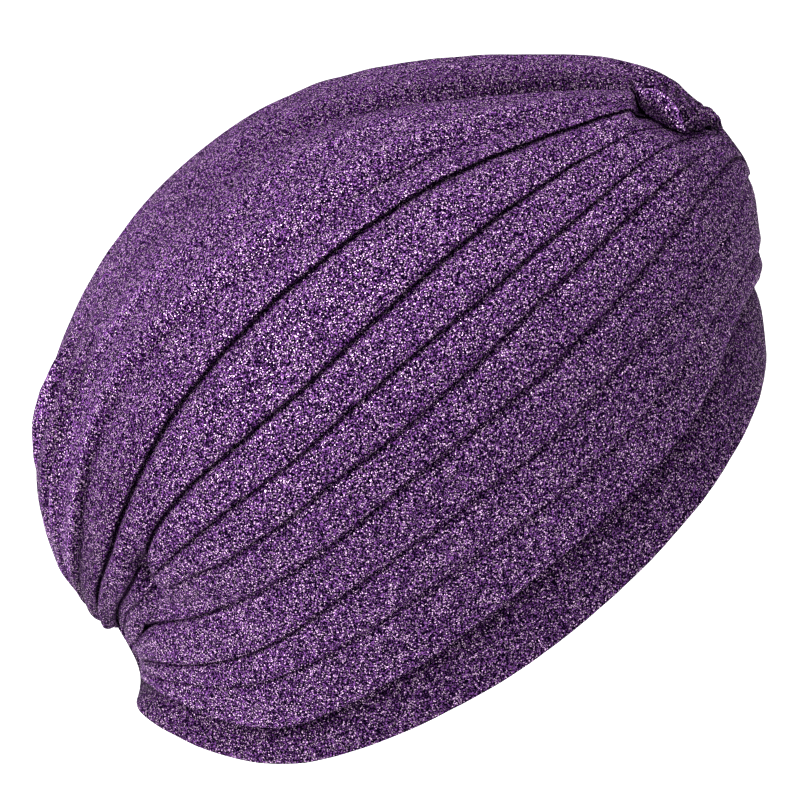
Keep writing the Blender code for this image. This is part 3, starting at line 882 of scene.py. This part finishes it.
def knot_strip():
    """Points of the ruched strip, ring after ring along the top centre line, and their painted
    shading. A spare section past each end gives the end rings their directions."""
    step = (KNOT_FORM[-1][0] - KNOT_FORM[0][0]) / (KNOT_RINGS - 1)
    outline = Outline(KNOT_FORM[0][0] + step * np.arange(-1, KNOT_RINGS + 1), columns=240)
    turn = np.linspace(0, 2 * np.pi, KNOT_SIDES, endpoint=False)[None, :]
    middle, half, height = [eased(KNOT_FORM, column, outline.angles)[:, None] for column in (1, 2, 3)]
    across = half * np.cos(turn) - middle
    out = np.abs(across)
    run = np.broadcast_to(outline.angles[:, None], across.shape)
    over = np.clip(np.sin(turn), 0, 1)

    loop_angle, lean, loop_reach, loop_height = LOOP
    from_loop = (run - loop_angle + lean * out) / loop_reach
    loop = np.exp(-from_loop ** 2)
    body_end, body_blend = BODY_END
    body = np.clip((-from_loop - body_end) / body_blend, 0, 1)
    back_start, back_blend, back_fall = LOOP_BACK
    behind = np.clip((from_loop - back_start) / back_blend, 0, 1)
    height = height * (1 - back_fall * behind)
    groove_way, groove_width, groove_depth = LOOP_GROOVE
    groove = np.exp(-((from_loop + groove_way) / groove_width) ** 2)

    stray, length, width, slot = RUCHE_STRAY
    bent = run + RUCHE_BEND * out + stray * ripple(run / length, across / width, slot)
    wave = np.abs(np.sin(np.pi * bent / RUCHE_STEP)) ** RUCHE_ROUNDNESS
    crumple_height, length, width, slot = CRUMPLE
    crumple = ripple(run / length, across / width, slot)
    raised = (RUCHE_HEIGHT * (wave - RUCHE_SINK) + crumple_height * crumple) * body
    raised = raised + loop_height * loop - groove_depth * groove

    shares = out / outline.lengths[:, None]
    above = over * (height + raised * np.minimum(1, height / KNOT_FULL_HEIGHT))
    depths = outline.centre_press(shares, np.sign(across)) - KNOT_CLEARANCE - above
    points = outline.points(shares, depths)
    points[:, :, 0] *= np.where(across < 0, -1, 1)

    # Painted shade in the gaps, the groove and at the sides, painted highlight on the crests and the loop.
    side_shade, side_opening = KNOT_SIDE_SHADING
    gap_shade, crest_highlight, opening, crumple_shading = RUCHE_SHADING
    lay = side_shade + (1 - side_shade) * over ** side_opening
    lay = lay * (gap_shade + crest_highlight * wave ** opening + crumple_shading * crumple)
    shading_end, shading_blend = BODY_SHADING
    lay = np.clip(lay * np.clip((body - shading_end) / shading_blend, 0, 1) * (1 - groove), 0, 1)
    lay = lay + (1 - body) * LOOP_HIGHLIGHT * loop
    return points[1:-1], lay[1:-1]


knot_points, knot_shading = knot_strip()
knot_faces = tube_faces(KNOT_RINGS, KNOT_SIDES)
knot_mesh = bpy.data.meshes.new("turban_knot")
knot_mesh.from_pydata(((knot_points.reshape(-1, 3) - SEAT) * MM).tolist(), [], knot_faces)
knot_mesh.shade_smooth()
knot_attribute = knot_mesh.attributes.new("lay", "FLOAT", "POINT")
knot_attribute.data.foreach_set("value", knot_shading.ravel().astype(np.float32))
knot_mesh.materials.append(glitter_knit("knot_glitter_knit", KNOT_PAINTED_LIGHT))
front_knot = bpy.data.objects.new("turban_knot", knot_mesh)
bpy.context.scene.collection.objects.link(front_knot)
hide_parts("front_knot")
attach(front_knot, "root")


# Floor, lights and camera
# The hat hangs above a plain pale floor, lit by soft lights behind it, overhead and in front.

FLOOR_DROP = 0.30
FLOOR_HALF = 6.0
FLOOR_GREY = 0.92
FLOOR_ROUGHNESS = 0.9
FLOOR_GLOW = 0.25
HAT_CENTRE = Vector((0.0, 0.028, -0.090))
STUDIO_LIGHTS = [
    # name, place, point that it is aimed at, size, power, colour
    ("rear_light", (-0.40, 1.0, 0.75), HAT_CENTRE, 0.8, 32.0, (1.0, 0.99, 1.0)),
    ("overhead_light", (0.35, 0.0, 1.6), (0.3, 0.0, -0.3), 1.5, 25.0, (1.0, 1.0, 1.0)),
    ("front_light", (-0.75, -0.95, 1.15), HAT_CENTRE, 0.9, 13.0, (1.0, 1.0, 1.0)),
]
AIR_LIGHT = 0.24
# The camera's turn to the rear from the wearer's right, its height above level, both in
# degrees, and its distance in metres. Its lens and its aim are given in pixels.
CAMERA_TURN = 12.0
CAMERA_HEIGHT = 28.0
CAMERA_DISTANCE = 1.0
FOCAL_PIXELS = 3470.0
FRAME_PIXELS = 800.0
CENTRE_PIXEL = (409.3, 391.8)
SENSOR_WIDTH = 36.0

floor_mesh = bpy.data.meshes.new("studio_floor")
low = -FLOOR_DROP
floor_mesh.from_pydata([(-FLOOR_HALF, -FLOOR_HALF, low), (FLOOR_HALF, -FLOOR_HALF, low),
                        (FLOOR_HALF, FLOOR_HALF, low), (-FLOOR_HALF, FLOOR_HALF, low)], [], [(0, 1, 2, 3)])
floor_paint = bpy.data.materials.new("studio_floor_paint")
floor_paint.use_nodes = True
floor_sockets = floor_paint.node_tree.nodes["Principled BSDF"].inputs
floor_sockets["Base Color"].default_value = (FLOOR_GREY, FLOOR_GREY, FLOOR_GREY, 1.0)
floor_sockets["Roughness"].default_value = FLOOR_ROUGHNESS
floor_sockets["Emission Color"].default_value = (1.0, 1.0, 1.0, 1.0)
floor_sockets["Emission Strength"].default_value = FLOOR_GLOW
floor_mesh.materials.append(floor_paint)
floor = bpy.data.objects.new("studio_floor", floor_mesh)
bpy.context.scene.collection.objects.link(floor)

for name, place, aim, size, power, colour in STUDIO_LIGHTS:
    data = bpy.data.lights.new(name, "AREA")
    data.size = size
    data.energy = power
    data.color = colour
    light = bpy.data.objects.new(name, data)
    light.location = place
    light.rotation_euler = (Vector(aim) - Vector(place)).to_track_quat("-Z", "Y").to_euler()
    bpy.context.scene.collection.objects.link(light)

world = bpy.data.worlds.new("studio_air")
world.use_nodes = True
air = world.node_tree.nodes["Background"].inputs
air["Color"].default_value = (1.0, 1.0, 1.0, 1.0)
air["Strength"].default_value = AIR_LIGHT
bpy.context.scene.world = world
bpy.context.scene.view_settings.view_transform = "Standard"

turn = math.radians(CAMERA_TURN)
lift = math.radians(CAMERA_HEIGHT)
towards_camera = Vector((-math.cos(turn) * math.cos(lift), math.sin(turn) * math.cos(lift), math.sin(lift)))
camera_data = bpy.data.cameras.new("photo_camera")
camera_data.sensor_width = SENSOR_WIDTH
camera_data.lens = SENSOR_WIDTH * FOCAL_PIXELS / FRAME_PIXELS
camera_data.shift_x = (FRAME_PIXELS / 2 - CENTRE_PIXEL[0]) / FRAME_PIXELS
camera_data.shift_y = (CENTRE_PIXEL[1] - FRAME_PIXELS / 2) / FRAME_PIXELS
camera = bpy.data.objects.new("photo_camera", camera_data)
camera.location = HAT_CENTRE + towards_camera * CAMERA_DISTANCE
camera.rotation_euler = (-towards_camera).to_track_quat("-Z", "Y").to_euler()
bpy.context.scene.collection.objects.link(camera)
bpy.context.scene.camera = camera
